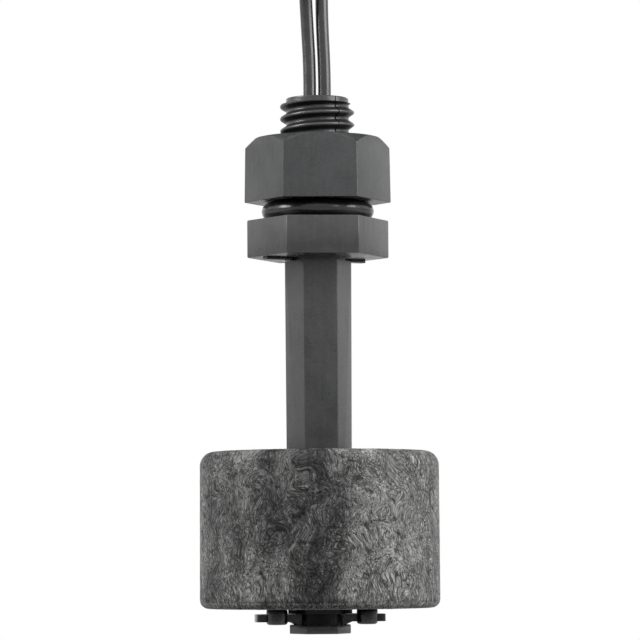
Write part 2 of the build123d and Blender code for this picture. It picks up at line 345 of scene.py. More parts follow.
# %% Helper: screw
def screw(major, minor, low, high, parting=False):
    """A threaded bar between two heights, with a crest where the photo shows it on the right."""
    bm = bmesh.new()
    flank = (major - minor) * math.tan(math.radians(30))
    half_crest = thread_crest_flat / 2
    first_turn = math.floor((low - crest_height_at_right) / thread_pitch) - 1
    turns = math.ceil((high - low) / thread_pitch) + 3
    centre = crest_height_at_right + first_turn * thread_pitch
    tooth = [
        (minor, centre - thread_pitch / 2),
        (minor, centre - half_crest - flank),
        (major, centre - half_crest),
        (major, centre + half_crest),
        (minor, centre + half_crest + flank),
        (minor, centre + thread_pitch / 2),
    ]
    wire = [bm.verts.new((radius, 0, height)) for radius, height in tooth]
    for a, b in zip(wire, wire[1:]):
        bm.edges.new((a, b))
    soften(bm, wire[2:4], thread_crest_flat * 0.45, 2)
    soften(bm, [wire[1], wire[4]], 0.12, 2)
    bmesh.ops.spin(bm, geom=bm.verts[:] + bm.edges[:], cent=(0, 0, 0), axis=(0, 0, 1),
                   dvec=(0, 0, thread_pitch / steps_per_turn), angle=math.tau, steps=steps_per_turn,
                   use_merge=False, use_duplicate=False)
    one_turn = bm.verts[:] + bm.edges[:] + bm.faces[:]
    for turn in range(1, turns):
        copied = bmesh.ops.duplicate(bm, geom=one_turn)["geom"]
        bmesh.ops.translate(bm, vec=(0, 0, turn * thread_pitch),
                            verts=[v for v in copied if isinstance(v, bmesh.types.BMVert)])
    bmesh.ops.remove_doubles(bm, verts=bm.verts, dist=0.002)
    if parting:
        part_halves(bm)
    for height, outward in ((low, -1), (high, 1)):
        cut = bmesh.ops.bisect_plane(bm, geom=bm.verts[:] + bm.edges[:] + bm.faces[:], dist=0.0001,
                                     plane_co=(0, 0, height), plane_no=(0, 0, outward), clear_outer=True)
        rim = [e for e in cut["geom_cut"] if isinstance(e, bmesh.types.BMEdge)]
        bmesh.ops.edgeloop_fill(bm, edges=rim)
    bmesh.ops.recalc_face_normals(bm, faces=bm.faces)
    return bm


# %% [markdown]
# ## Joining and cutting blanks
# A moulding is one solid, so its blanks have to become one skin: the hexagons are joined, the bore is
# taken out, and the end of the thread is clipped. The Boolean modifier does this exactly. It is
# applied at once, and the blanks are thrown away. A finished mesh is then scaled to metres, shaded
# smooth with its sharp edges kept, and told which body of the frame it rides on.

# %% Helpers for joining, cutting and finishing
def object_of(bm, name):
    """A mesh object made from a bmesh, which is freed."""
    mesh = bpy.data.meshes.new(name)
    bm.to_mesh(mesh)
    bm.free()
    return new_object(name, mesh)


def carved(blank, *steps):
    """Join (UNION), cut (DIFFERENCE) or clip (INTERSECT) a blank with others, in that order."""
    blanks = [object_of(blank, "blank")]
    for operation, other in steps:
        blanks.append(object_of(other, "tool"))
        modifier = blanks[0].modifiers.new(operation, "BOOLEAN")
        modifier.operation = operation
        modifier.solver = "MANIFOLD"
        modifier.object = blanks[-1]
    graph = bpy.context.evaluated_depsgraph_get()
    result = bmesh.new()
    result.from_object(blanks[0], graph)
    for obj in blanks:
        mesh = obj.data
        bpy.data.objects.remove(obj)
        bpy.data.meshes.remove(mesh)
    bmesh.ops.remove_doubles(result, verts=result.verts, dist=0.0005)
    bmesh.ops.dissolve_degenerate(result, edges=result.edges, dist=0.0005)
    return result


def finished(name, bm, replaced, body="switch_body", sharp=30):
    """Scale a shape to metres, shade it, and hang it on its body in place of its CAD node."""
    bmesh.ops.scale(bm, vec=(MM, MM, MM), verts=bm.verts)
    open_edges = sum(1 for e in bm.edges if len(e.link_faces) != 2)
    obj = object_of(bm, name)
    obj.data.shade_smooth()
    obj.data.set_sharp_from_angle(angle=math.radians(sharp))
    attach(obj, body)
    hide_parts(*replaced)
    print(name, len(obj.data.polygons), "faces,", open_edges, "edges that aren't shared by two faces")
    return obj


# %% Helper: block
def block(low, high):
    """A box between two opposite corners."""
    bm = bmesh.new()
    bmesh.ops.create_cube(bm, size=1)
    low, high = Vector(low), Vector(high)
    bmesh.ops.scale(bm, vec=high - low, verts=bm.verts)
    return shifted(bm, (low + high) / 2)


# %% [markdown]
# ## The moulded stem
# One moulding holds the stud, the flange, the long hexagon, the neck for the lower clip and the short
# hexagonal end. The sizes follow the CAD model, but the long hexagon runs on to just above the lower
# clip, as the photo shows. The rims of the flange are only just broken, as a mould leaves them, and
# the last crest of the thread fades into a plain ring at the top of the stud. A thin block cuts the
# upright groove where the two halves of the mould met. The plastic came in through a gate in the
# middle of the lower end, which left a small nib in a dish.

# %% Sizes of the stem
hex_turn = 4.7
thread_end = 14.98
stud_end = 15.64
ring_radius = 4.0
flange_across = 15.72
flange_bottom = -4.85
clip_groove_bottom = -5.3
clip_groove_radius = 3.55
groove_top = -49.85
shaft_end = -50.12
tip_across = 6.8
tip_top = -51.47
tip_end = -52.64
float_rest = -49.42
neck_radius = 2.85
bore_radius = 2.1
bore_end = -46.65
bore_chamfer = 0.22
stem_across = 7.43
stem_length = 45.0
stem_draft = math.radians(0.2)
stem_foot_across = stem_across - 2 * stem_length * math.tan(stem_draft)
print("stem from", tip_end, "to", stud_end, "mm,", round(stem_foot_across, 3), "mm across at its foot")

# %% Hexagons and neck of the stem
overlap = 0.3
corner = 0.16
flange = hexagonal(flange_across, flange_bottom, 0.0, hex_turn, corner, (0.18, 0.24))
shaft = hexagonal(stem_foot_across, shaft_end, flange_bottom + overlap, hex_turn, corner, (0.06, 0),
                  stem_across / stem_foot_across)
tip = hexagonal(tip_across, tip_end, tip_top, hex_turn, 0.2, (0.12, 0.16))
neck = rod(neck_radius, tip_top - overlap, groove_top + overlap, 72)
clip_groove = tube(clip_groove_radius, 5.5, clip_groove_bottom, flange_bottom)
print("hexagons of", len(flange.verts), len(shaft.verts), len(tip.verts), "points")

# %% Stud, its bore and the gate
crest = thread_major + 0.02
stud = screw(thread_major, thread_minor, -0.4, stud_end + overlap, parting=True)
envelope = turned([(0, -1), (6, -1), (6, 0), (crest, 0), (crest, thread_end - 0.15), (ring_radius, thread_end),
                   (ring_radius, stud_end - 0.1), (ring_radius - 0.12, stud_end), (0, stud_end)], 120)
mouth = bore_radius + bore_chamfer
bore = turned([(0, bore_end), (bore_radius, bore_end), (bore_radius, stud_end - bore_chamfer),
               (mouth, stud_end), (mouth, stud_end + 1), (0, stud_end + 1)], 72)
gate_dish = turned([(0, tip_end + 0.12), (0.55, tip_end + 0.16), (0.62, tip_end + 0.3), (1.5, tip_end + 0.26),
                    (1.9, tip_end), (1.9, tip_end - 1), (0, tip_end - 1)], 48)
seam = rotated(block((3.8, -0.07, -1), (6, 0.07, stud_end + 1)), parting_angle)
print("stud of", len(stud.verts), "points")

# %% Stem
stem = carved(stud, ("INTERSECT", envelope), ("DIFFERENCE", seam), ("UNION", flange), ("UNION", shaft),
              ("DIFFERENCE", clip_groove), ("UNION", neck), ("UNION", tip), ("DIFFERENCE", bore),
              ("DIFFERENCE", gate_dish))
stem_moulding = finished("stem_moulding", stem, ["stem"])

# %% [markdown]
# ## The nut
# The nut is moulded too. It is a hexagon that grows a little towards its lower face, and its upper
# corners are turned off by a cone, which leaves the curved edges that the photo shows on each flat.
# A fine bevel breaks those arcs, so they catch a thin line of light. The thread inside is cut with
# the same screw as the stud, a hair larger, so the two are in mesh. The joint lifts the nut by three
# whole turns at most, and they are in mesh there too.

# %% Nut
nut_low = 2.26
nut_high = 10.42
nut_across = 16.25
nut_turn = 2.4
nut_narrowing = 2 * (nut_high - nut_low) * math.tan(math.radians(0.8))
top_circle = 8.05
cone_reach = 3.95
thread_gap = 0.06


def countersink(face, outward):
    """A cone that opens the thread's mouth at one face of the nut."""
    inner = face - outward * 0.9
    outer = face + outward * 0.1
    return turned([(0, inner), (4.1, inner), (5.3, outer), (0, outer)])


blank = hexagonal(nut_across, nut_low, nut_high, nut_turn, 0.14, (0.08, 0), 1 - nut_narrowing / nut_across)
cone_foot = top_circle + cone_reach
cone = turned([(0, nut_low - 1), (cone_foot, nut_low - 1), (cone_foot, nut_high - cone_reach),
               (top_circle, nut_high), (0, nut_high)], 120)
thread_tool = screw(thread_major + thread_gap, thread_minor + thread_gap, nut_low - 0.5, nut_high + 0.5)
nut = carved(blank, ("INTERSECT", cone), ("DIFFERENCE", thread_tool), ("DIFFERENCE", countersink(nut_high, 1)),
             ("DIFFERENCE", countersink(nut_low, -1)))
arcs = [e for e in sharp_edges(nut, 0.3, 0.95)
        if all(v.co.z > nut_high - 3 and math.hypot(v.co.x, v.co.y) > top_circle - 0.1 for v in e.verts)]
print("edges along the six arcs", len(arcs))
soften(nut, arcs, 0.08)
nut_moulding = finished("nut_moulding", nut, ["mounting_nut"], "nut", sharp=14)

# %% [markdown]
# ## The rubber ring
# A ring of round section, spun from a circle. A full turn of a circle makes a doughnut with no seam.
# The mould of such a ring closes at its widest circle, where a thin line of flash stays. The nut
# squeezes the ring a little, so it is drawn a fifth of a millimetre wider than in the CAD model.

# %% Sealing ring
section_radius = 1.1
seal_radius = 6.1
flash_height = 0.03
section = []
for step in range(48):
    angle = math.tau * step / 48
    reach = section_radius + (flash_height if step == 0 else 0)
    section.append((seal_radius - flash_height + reach * math.cos(angle),
                    section_radius + 0.01 + section_radius * math.sin(angle)))
sealing_ring = finished("seal_ring", turned(section, 144), ["sealing_ring"])

# %% [markdown]
# ## The two clips
# The upper clip is a thin half ring with two straight arms, pushed in from behind under the flange,
# where it stops the float. The lower clip is a thicker half plate with a small hub, pushed on from
# behind too. It ends in two round lugs, one on each side of the neck, and the float rests on them.
# Plain blanks joined and cut give them both, and a bevel breaks their sharp edges.

# %% Upper clip
ring_inside = 3.6
ring_outside = 4.5
ring_low = flange_bottom - 0.4
ring_turn = 28
arm_ends = (-7.45, 6.85)
arm_front = -0.25
arm_back = 1.05
arms = block((arm_ends[0], arm_front, ring_low), (arm_ends[1], arm_back, flange_bottom))
soften(arms, upright_edges(arms, 0.1), 0.2, 3)
front = block((-9, -9, -6), (9, arm_front, -4))
half_ring = carved(tube(ring_inside, ring_outside, ring_low, flange_bottom), ("UNION", arms),
                   ("DIFFERENCE", rod(ring_inside, -6, -4)), ("DIFFERENCE", front))
soften(half_ring, sharp_edges(half_ring, 1), 0.05)
half_ring = rotated(half_ring, ring_turn)
upper_clip = finished("upper_clip_ring", half_ring, ["upper_clip"])

# %% Lower clip
clip_low = -51.12
clip_high = -50.17
clip_turn = 11.5
clip_inside = 2.9
clip_radius = 8.35
lug_across = 5.82
lug_forward = -1.237
lug_radius = 1.35
lug_dimple = 0.12


def clip_lug():
    """A round lug with a rounded rim and a small dimple in each end."""
    low, high = tip_top + lug_dimple, float_rest - lug_dimple
    return turned([(0, low), (0.5, low), (0.6, tip_top), (lug_radius, tip_top), (lug_radius, float_rest),
                   (0.6, float_rest), (0.5, high), (0, high)], 48, rounds=[(3, 0.4), (4, 0.4)])


plate = tube(clip_inside, clip_radius, clip_low, clip_high, 120)
hub_top = clip_low + 0.05
hub = turned([(clip_inside, tip_top), (3.3, tip_top), (4.2, hub_top), (clip_inside, hub_top)], 72)
clip = carved(plate, ("UNION", hub), ("DIFFERENCE", block((-12, -12, -54), (12, lug_forward, -47))))
ends = [e for e in upright_edges(clip, 0.5)
        if abs(e.verts[0].co.x) > 8 and e.verts[0].co.y < lug_forward + 0.1]
soften(clip, ends, 0.5, 5)
soften(clip, sharp_edges(clip, 0.8), 0.1, 2)
for side in (-1, 1):
    clip = carved(clip, ("UNION", shifted(clip_lug(), (side * lug_across, lug_forward, 0))))
clip = rotated(clip, clip_turn)
lower_clip = finished("lower_clip_plate", clip, ["lower_clip"])

# %% [markdown]
# ## The float
# The float is a drum of closed-cell rubber foam, pressed in a mould. It is slightly wider at the
# bottom, round at both rims and plain in its bore. The foam flowed while it filled the mould, and the
# lobes of the flow stay in its skin with fine creases between them. The drum is spun from a finely
# cut wire, and then each point sinks by a pattern of noise. The pattern is read at a place that other
# noise has already bent, which turns plain lumps into swirls. Near the lower rim the bending fades
# out, so the creases run upright there, as they do in the photo. The noise gets a seed of its own,
# because it otherwise starts from the clock and gives another float each time. The same pattern is
# kept as an attribute, so that the material can darken the creases where they really are: partly the
# skin's own dark lines, and partly painted shade in the creases.

# %% Float
float_high = -29.52
float_bore = 4.74
foam = turned([(float_bore, float_rest), (15.28, float_rest), (15.2175, float_high), (float_bore, float_high)],
              400, rounds=[(0, 0.4), (1, 1.15), (2, 1.8), (3, 0.4)], segments=8, fine=0.3)
print("float", len(foam.verts), "points")

# %% Swirls in the foam's skin
noise.seed_set(4)
crease_depth = 0.05
lobe_depth = 0.0175
fibre_depth = 0.02
line_depth = 0.03
line_heights = (-30.23, -48.49)
large_swirl = 6.2
small_swirl = 2.1
calm_stretch = 5.5


def bent(place):
    """A place in the foam after the flow has carried it."""
    stirred = 1 - math.exp(-((place.z - float_rest) / calm_stretch) ** 2)
    far = noise.noise_vector(place / large_swirl + Vector((3.1, 7.7, 1.3)))
    near = noise.noise_vector(place / small_swirl + Vector((9.2, 0.4, 5.5)))
    return place + (far * 4.6 + near * 1.5) * (0.15 + 0.85 * stirred)


def skin_pattern(place):
    """How deep the crease is here and how light the lobe is, from 0 to 1, and the fibre, from -1 to 1."""
    x, y, z = bent(place)
    lobe = noise.noise(Vector((x / 1.5, y / 1.5, z / 3.4)))
    crease = math.exp(-(lobe / 0.05) ** 2)
    fibre = noise.noise(Vector((x / 0.42, y / 0.42, z / 1.1)) + Vector((5, 5, 5)))
    return crease, 0.5 + 0.5 * lobe, fibre


def sink_skin(bm):
    """Move each outer point inwards by the pattern, and keep the pattern for the material."""
    crease_layer = bm.verts.layers.float.new("crease")
    lobe_layer = bm.verts.layers.float.new("lobe")
    bm.normal_update()
    for v in bm.verts:
        crease, lobe, fibre = skin_pattern(v.co)
        line = max(math.exp(-((v.co.z - height) / 0.09) ** 2) for height in line_heights)
        outside = min(1, max(0, (math.hypot(v.co.x, v.co.y) - 5.6) / 0.8))
        v[crease_layer] = max(crease, 0.6 * line)
        v[lobe_layer] = min(1, max(0, lobe + 0.35 * fibre))
        depth = crease_depth * crease + lobe_depth * (1 - lobe) + line_depth * line
        v.co -= v.normal * max(0, depth + fibre_depth * (0.5 + fibre)) * outside


sink_skin(foam)
float_drum = finished("float_drum", foam, ["float_body"], "float", sharp=60)

# %% [markdown]
# ## The resin in the stud
# The stud is filled with resin, which climbs a little up its wall and up both leads while it sets. A
# flat disc would be wrong there, so each point of the spun top is lifted by how near it is to the
# wall or to a lead. Two holes let the leads through.

# %% Resin
resin_bottom = 3.14
resin_top = 15.14
lead_column = 0.945
top_rings = 30
climb_height = 0.2
climb_reach = 0.2
sunk_middle = 0.04


def climb(distance):
    """How far the resin rises this near to a wall."""
    return climb_height * math.exp(-max(0, distance) / climb_reach)


top = [(bore_radius * (1 - step / top_rings), resin_top) for step in range(top_rings + 1)]
plug = turned([(0, resin_bottom), (bore_radius, resin_bottom)] + top)
for v in plug.verts:
    if v.co.z > resin_top - 0.001:
        to_wall = bore_radius - math.hypot(v.co.x, v.co.y)
        to_lead = min(math.hypot(v.co.x - side * lead_column, v.co.y) for side in (-1, 1)) - lead_diameter / 2
        v.co.z += max(climb(to_wall), climb(to_lead)) - sunk_middle
for side in (-1, 1):
    hole = rod(lead_diameter / 2, resin_bottom - 1, resin_top + 1, 48)
    plug = carved(plug, ("DIFFERENCE", shifted(hole, (side * lead_column, 0, 0))))
resin_plug = finished("resin_plug", plug, ["potting"])

# %% [markdown]
# ## The tinned ends
# Each lead ends stripped, for a terminal or a splice: seven tinned strands with a twist in them, and
# their tip dipped in solder. Seven circles spun about the lead's axis, while they move along it, give
# that twist exactly. The bundle is made upright and then turned to the last direction of its lead.

# %% Tinned ends
strand_radius = 0.127
strand_circle = 0.25
strand_turns = 1.6
inside_insulation = 0.4
dipped_length = 1.5
bead_radius = 0.366
twist_steps = 64


def twisted_strands():
    """Seven strands that climb from inside the insulation to the end of the lead."""
    bm = bmesh.new()
    for index in range(7):
        made = bmesh.ops.create_circle(bm, cap_ends=False, segments=10, radius=strand_radius)["verts"]
        bearing = math.tau * index / 6
        reach = strand_circle if index < 6 else 0
        bmesh.ops.translate(bm, vec=(reach * math.cos(bearing), reach * math.sin(bearing), -inside_insulation),
                            verts=made)
    climb_by = (stripped_end - 0.1 + inside_insulation) / twist_steps
    bmesh.ops.spin(bm, geom=bm.verts[:] + bm.edges[:], cent=(0, 0, 0), axis=(0, 0, 1), dvec=(0, 0, climb_by),
                   angle=math.tau * strand_turns, steps=twist_steps, use_merge=False, use_duplicate=False)
    bmesh.ops.holes_fill(bm, edges=[e for e in bm.edges if len(e.link_faces) == 1], sides=12)
    bmesh.ops.recalc_face_normals(bm, faces=bm.faces)
    return bm


def tinned_end(name, line):
    """The stripped end of one lead, in line with its last stretch."""
    bm = twisted_strands()
    bead_start = stripped_end - dipped_length
    bead = turned([(0, bead_start), (0.3, bead_start), (bead_radius, stripped_end - 0.8 * dipped_length),
                   (bead_radius, stripped_end), (0, stripped_end)], 40, rounds=[(2, 0.2), (3, 0.22)])
    bead_mesh = bpy.data.meshes.new("bead")
    bead.to_mesh(bead_mesh)
    bead.free()
    bm.from_mesh(bead_mesh)
    bpy.data.meshes.remove(bead_mesh)
    heading = (line[-1] - line[-2]).normalized()
    upright_to_heading = Vector((0, 0, 1)).rotation_difference(heading).to_matrix()
    bmesh.ops.rotate(bm, cent=(0, 0, 0), matrix=upright_to_heading, verts=bm.verts)
    shifted(bm, line[-1] / MM)
    return finished(f"tinned_end_{name}", bm, [f"lead_{name}_tip"], sharp=50)


# %% Both tinned ends
tinned_ends = {name: tinned_end(name, line) for name, (lead, side, line) in leads.items()}

# %% [markdown]
# ## The strap
# A nylon strap holds the folded leads. Its band is a rounded block with a smaller one taken out, and
# a shallow channel runs round its outside, as on the real ones, which saves plastic. The head is a
# small box with a slot, and the strap's end comes out of the slot and is cut off short.

# %% Strap
strap_middle = 61.15
band_half_width = 11.9
band_half_depth = 2.625
band_corner = 1.7
band_thickness = 0.8
channel_depth = 0.14


def rounded_block(half_width, half_depth, half_height, corner):
    """A block round the strap's middle, with its upright edges rounded."""
    bm = block((-half_width, -half_depth, strap_middle - half_height),
               (half_width, half_depth, strap_middle + half_height))
    soften(bm, upright_edges(bm, 0.5), corner, 6)
    return bm


def band_block(inset, half_height):
    """The band's outline, set in by a distance."""
    return rounded_block(band_half_width - inset, band_half_depth - inset, half_height, band_corner - inset)


channel = carved(rounded_block(13, 4, 0.85, 1), ("DIFFERENCE", band_block(channel_depth, 3)))
head = block((2.1, -4.825, strap_middle - 2.2), (6.7, -2.0, strap_middle + 2.2))
soften(head, head.edges[:], 0.4, 3)
slot = block((4.0, -6, strap_middle - 1.65), (5.3, -3.4, strap_middle + 1.65))
cut_end = block((4.2, -5.25, strap_middle - 1.45), (5.0, -3.0, strap_middle + 1.45))
strap = carved(band_block(0, 1.5), ("DIFFERENCE", band_block(band_thickness, 2.5)), ("DIFFERENCE", channel),
               ("UNION", head), ("DIFFERENCE", slot), ("UNION", cut_end))
soften(strap, sharp_edges(strap, 1.2), 0.07)
hank_strap = finished("hank_strap", strap, ["hank_tie"])

# %% [markdown]
# A lead can be bent, but here each one simply rides on the switch's body, and its tinned end goes
# along with it. The two leads stand for all their CAD nodes.

for name, (lead, side, line) in leads.items():
    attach(lead, "switch_body")
    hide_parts(f"lead_{name}", f"lead_{name}_end", *(["lead_hank"] if side < 0 else []))
    print(lead.name, "follows", len(line), "points")

# %% [markdown]
# ## Tools for the finishes
# Every finish is a Principled shader with patterns of noise in its colour, its gloss and its relief,
# read at the point's own place on the object. Small helpers keep each finish short: they add a node,
# do a sum, make lumps of a size in millimetres, map a pattern to a range and blend two colours. The
# class Finish holds one material while it is made, with its tones, its gloss and its relief.

# %% Helpers for shader nodes
def add_node(tree, kind, sockets=(), **settings):
    """Add a shader node. A socket gets a constant, or another node's output."""
    made = tree.nodes.new("ShaderNode" + kind)
    for name, value in settings.items():
        setattr(made, name, value)
    for name, value in dict(sockets).items():
        if isinstance(value, bpy.types.NodeSocket):
            tree.links.new(value, made.inputs[name])
        else:
            made.inputs[name].default_value = value
    return made


def computed(tree, operation, *values):
    """The result of one sum, on numbers or outputs."""
    return add_node(tree, "Math", dict(enumerate(values)), operation=operation).outputs["Value"]


def vector_of(tree, operation, *values):
    """The vector that one sum gives, on vectors or outputs."""
    return add_node(tree, "VectorMath", dict(enumerate(values)), operation=operation).outputs["Vector"]


# %% Helpers for patterns and colours
def height_of(tree, place):
    """The height of a point."""
    return add_node(tree, "SeparateXYZ", {"Vector": place}).outputs["Z"]


def lumps(tree, place, size, stretch=(1, 1, 1), detail=2.0, shift=(0, 0, 0)):
    """Soft noise with lumps about this many millimetres across, longer where it is stretched."""
    scale = tuple(1 / s for s in stretch)
    moved = add_node(tree, "Mapping", {"Vector": place, "Location": shift, "Scale": scale})
    return add_node(tree, "TexNoise", {"Vector": moved.outputs["Vector"], "Scale": 1 / (size * MM),
                                       "Detail": detail}).outputs["Fac"]


def ranged(tree, pattern, low, high, to_low=0.0, to_high=1.0):
    """Map one range of a pattern to another."""
    return add_node(tree, "MapRange", {"Value": pattern, "From Min": low, "From Max": high, "To Min": to_low,
                                       "To Max": to_high}).outputs["Result"]


def blended(tree, share, one, other):
    """Blend two colours, which are constants or outputs, by a share."""
    ready = [value if isinstance(value, bpy.types.NodeSocket) else (*value, 1) for value in (one, other)]
    return add_node(tree, "MixRGB", {"Fac": share, "Color1": ready[0], "Color2": ready[1]}).outputs["Color"]


def from_axis(tree, place):
    """The distance of a point from the Z axis."""
    flat = vector_of(tree, "MULTIPLY", place, (1, 1, 0))
    return add_node(tree, "VectorMath", {0: flat}, operation="LENGTH").outputs["Value"]


# %% One finish
class Finish:
    """A material being made: its tree, its shader and the place of each point."""

    def __init__(self, name, color, roughness, **sockets):
        self.material = bpy.data.materials.new(name)
        self.material.use_nodes = True
        self.material.diffuse_color = (*color, 1)
        self.tree = self.material.node_tree
        self.shader = self.tree.nodes["Principled BSDF"]
        self.shader.inputs["Base Color"].default_value = (*color, 1)
        self.shader.inputs["Roughness"].default_value = roughness
        for socket, value in sockets.items():
            self.shader.inputs[socket.replace("_", " ")].default_value = value
        self.place = add_node(self.tree, "TexCoord").outputs["Object"]

    def set(self, socket, output):
        """Let an output drive one of the shader's sockets."""
        self.tree.links.new(output, self.shader.inputs[socket])

    def lumps(self, size, **how):
        """Noise at the point's own place."""
        return lumps(self.tree, self.place, size, **how)

    def tones(self, pattern, dark, light, span=None):
        """Colour the surface between two tones, over a span of a pattern or all of it."""
        share = ranged(self.tree, pattern, *span) if span else pattern
        self.color = blended(self.tree, share, dark, light)
        self.set("Base Color", self.color)

    def gloss(self, pattern, low, high, at_low, at_high):
        """Let the roughness follow a span of a pattern."""
        self.set("Roughness", ranged(self.tree, pattern, low, high, at_low, at_high))

    def relief(self, pattern, height, below=None):
        """Raise a pattern by this many millimetres, on top of another relief."""
        sockets = {"Height": pattern, "Distance": height * MM}
        if below:
            sockets["Normal"] = below
        normal = add_node(self.tree, "Bump", sockets).outputs["Normal"]
        self.set("Normal", normal)
        return normal


def give(finish, *objects):
    """Put a finish on objects, in place of what they had."""
    for obj in objects:
        obj.data.materials.clear()
        obj.data.materials.append(finish.material)
    print(finish.material.name, "on", [obj.name for obj in objects])


# %% [markdown]
# ## Moulded plastics
# The stem and the nut are glass-filled polypropylene. It is near black, with a satin skin that is
# never quite even: fine grain from the mould's steel, faint streaks along the flow, and duller clouds
# where the melt cooled first. The nut's batch is a little bluer than the stem's. The flanks of the
# thread and the neck behind the lower clip get painted shade: they are darker and less glossy than
# the rest, where shade falls in the grooves and under the float. A range of distances from the axis
# and a range of heights pick them out. The clips are a harder, blacker plastic with more gloss.

# %% Plastic of the stem
def moulded(name, dark, light, roughness, flow, grain_size=0.16):
    """A satin moulded plastic with grain, clouds, and streaks along its flow."""
    finish = Finish(name, light, roughness)
    clouds = finish.lumps(3.4, detail=3.0)
    streaks = finish.lumps(0.5, stretch=flow, detail=3.0)
    grain = finish.lumps(grain_size, detail=2.0)
    mixed = blended(finish.tree, 0.45, blended(finish.tree, 0.5, clouds, streaks), grain)
    finish.tones(mixed, dark, light, (0.38, 0.62))
    finish.gloss(clouds, 0.3, 0.7, roughness - 0.05, roughness + 0.07)
    sunk = finish.relief(clouds, 0.07)
    coarse = finish.relief(streaks, 0.006, sunk)
    finish.relief(grain, 0.016, coarse)
    return finish


housing = moulded("satin_polypropylene", (0.035, 0.0369, 0.0356), (0.058, 0.0605, 0.058), 0.27, (1, 1, 9))
give(housing, stem_moulding)

# %% Painted shade on the flanks of the thread and on the neck
def between(tree, value, low, high, blur):
    """1 where a value lies between two bounds in millimetres, and 0 outside them."""
    rise = ranged(tree, value, (low - blur) * MM, (low + blur) * MM)
    fall = ranged(tree, value, (high + blur) * MM, (high - blur) * MM)
    return computed(tree, "MINIMUM", rise, fall)


flank_share = 0.85
tree = housing.tree
up = height_of(tree, housing.place)
on_stud = ranged(tree, up, 0.1 * MM, 0.3 * MM, 0.0, flank_share)
on_flank = between(tree, from_axis(tree, housing.place), thread_minor + 0.1, thread_major - 0.1125, 0.05)
on_neck = between(tree, up, tip_top + 0.02, float_rest - 0.03, 0.03)
# Painted shade: the flanks and the neck are darkened, and their reflection weakened, where shade falls.
painted_groove_shade = computed(tree, "MAXIMUM", computed(tree, "MULTIPLY", on_flank, on_stud), on_neck)
housing.set("Base Color", blended(tree, painted_groove_shade, housing.color, (0.0115, 0.012, 0.0115)))
housing.set("Specular IOR Level", ranged(tree, painted_groove_shade, 0.0, flank_share, 0.5, 0.13))
print(len(tree.nodes), "nodes in the stem's plastic")

# %% Plastic of the nut and the clips
nut_finish = moulded("nut_polypropylene", (0.0275, 0.0287, 0.0296), (0.0484, 0.05, 0.0513), 0.27,
                     (1, 1, 5), 0.2)
give(nut_finish, nut_moulding)
clip_finish = moulded("clip_nylon", (0.008, 0.008, 0.008), (0.015, 0.015, 0.016), 0.2, (4, 1, 1))
give(clip_finish, upper_clip, lower_clip)

# %% [markdown]
# ## Rubber and foam
# The sealing ring is dense black rubber with a smooth skin and a faint dull bloom. The float's foam
# is dark grey and dull, and all its marks follow the flow. Small cells have dark outlines, and some
# are pale. Thin dark loops wind between them, and the creases of the relief are nearly black, partly
# as the skin's own dark lines and partly as painted shade. The cells come from a texture of scattered
# points, which also knows how far the nearest cell's edge is, and the loops are the sine of slow
# noise. Both use the same trick as the relief: they are read at a place that other noise has bent,
# and near the lower rim it bends less. Broad noise then changes the tone, with painted light and
# shade on top: a darker belt in front and a darker upper rim are painted shade, and a paler side and
# a paler lower rim are painted light.

# %% Rubber of the ring
seal_finish = Finish("smooth_rubber", (0.008, 0.008, 0.0085), 0.2)
bloom = seal_finish.lumps(1.1, stretch=(1, 1, 0.6), detail=4.0)
seal_finish.tones(bloom, (0.006, 0.006, 0.0065), (0.014, 0.014, 0.015), (0.4, 0.7))
seal_finish.gloss(bloom, 0.35, 0.7, 0.16, 0.28)
seal_finish.relief(seal_finish.lumps(0.4, detail=2.0), 0.004)
give(seal_finish, sealing_ring)

# %% Foam of the float
def attribute(tree, name):
    """A value that the mesh keeps at each point."""
    return add_node(tree, "Attribute", attribute_name=name).outputs["Fac"]


def carried(tree, place, size, reach, shift, share=1.0):
    """Places moved about by noise, up to a reach in millimetres, or a share of it."""
    spot = add_node(tree, "Mapping", {"Vector": place, "Location": shift}).outputs["Vector"]
    wind = add_node(tree, "TexNoise", {"Vector": spot, "Scale": 1 / (size * MM), "Detail": 1.0})
    centred = vector_of(tree, "SUBTRACT", wind.outputs["Color"], (0.5, 0.5, 0.5))
    scaled = vector_of(tree, "MULTIPLY", centred, (reach * MM,) * 3)
    part = add_node(tree, "VectorMath", {0: scaled, "Scale": share}, operation="SCALE").outputs["Vector"]
    return vector_of(tree, "ADD", place, part)


foam_finish = Finish("moulded_foam", (0.08, 0.081, 0.08), 0.55)
tree = foam_finish.tree
height = height_of(tree, foam_finish.place)
unrest = ranged(tree, height, float_rest * MM, (float_rest + 6.9) * MM, 0.2, 1.0)
flow = carried(tree, foam_finish.place, 5.2, 7.0, (0.011, 0.004, 0.002), unrest)
streaks = lumps(tree, flow, 0.5, stretch=(1, 1, 7), detail=1.0)
flow = carried(tree, flow, 1.8, 1.1, (0.003, 0.017, 0.006))
fibres = lumps(tree, flow, 0.17, stretch=(1, 1, 3.4), detail=2.0)
grain = foam_finish.lumps(0.2, detail=2.0)
print(len(tree.nodes), "nodes in the foam so far")

# %% Cells of the skin
cell_size = 0.4
drawn_out = add_node(tree, "Mapping", {"Vector": flow, "Scale": (1, 1, 0.5)}).outputs["Vector"]
cells = {"Vector": drawn_out, "Scale": 1 / (cell_size * MM)}
to_edge = add_node(tree, "TexVoronoi", cells, feature="DISTANCE_TO_EDGE").outputs["Distance"]
cell_color = add_node(tree, "TexVoronoi", cells).outputs["Color"]
cell_tone = add_node(tree, "SeparateXYZ", {"Vector": cell_color}).outputs["X"]
worked = ranged(tree, lumps(tree, flow, 2.4, stretch=(1, 1, 2), shift=(0.04, 0, 0.01)), 0.4, 0.58, 0.3, 1.0)
outline = computed(tree, "MULTIPLY", ranged(tree, to_edge, 0.2, 0.03, 0.0, 0.85), worked)
print("cells of about", cell_size, "mm,", len(tree.nodes), "nodes so far")

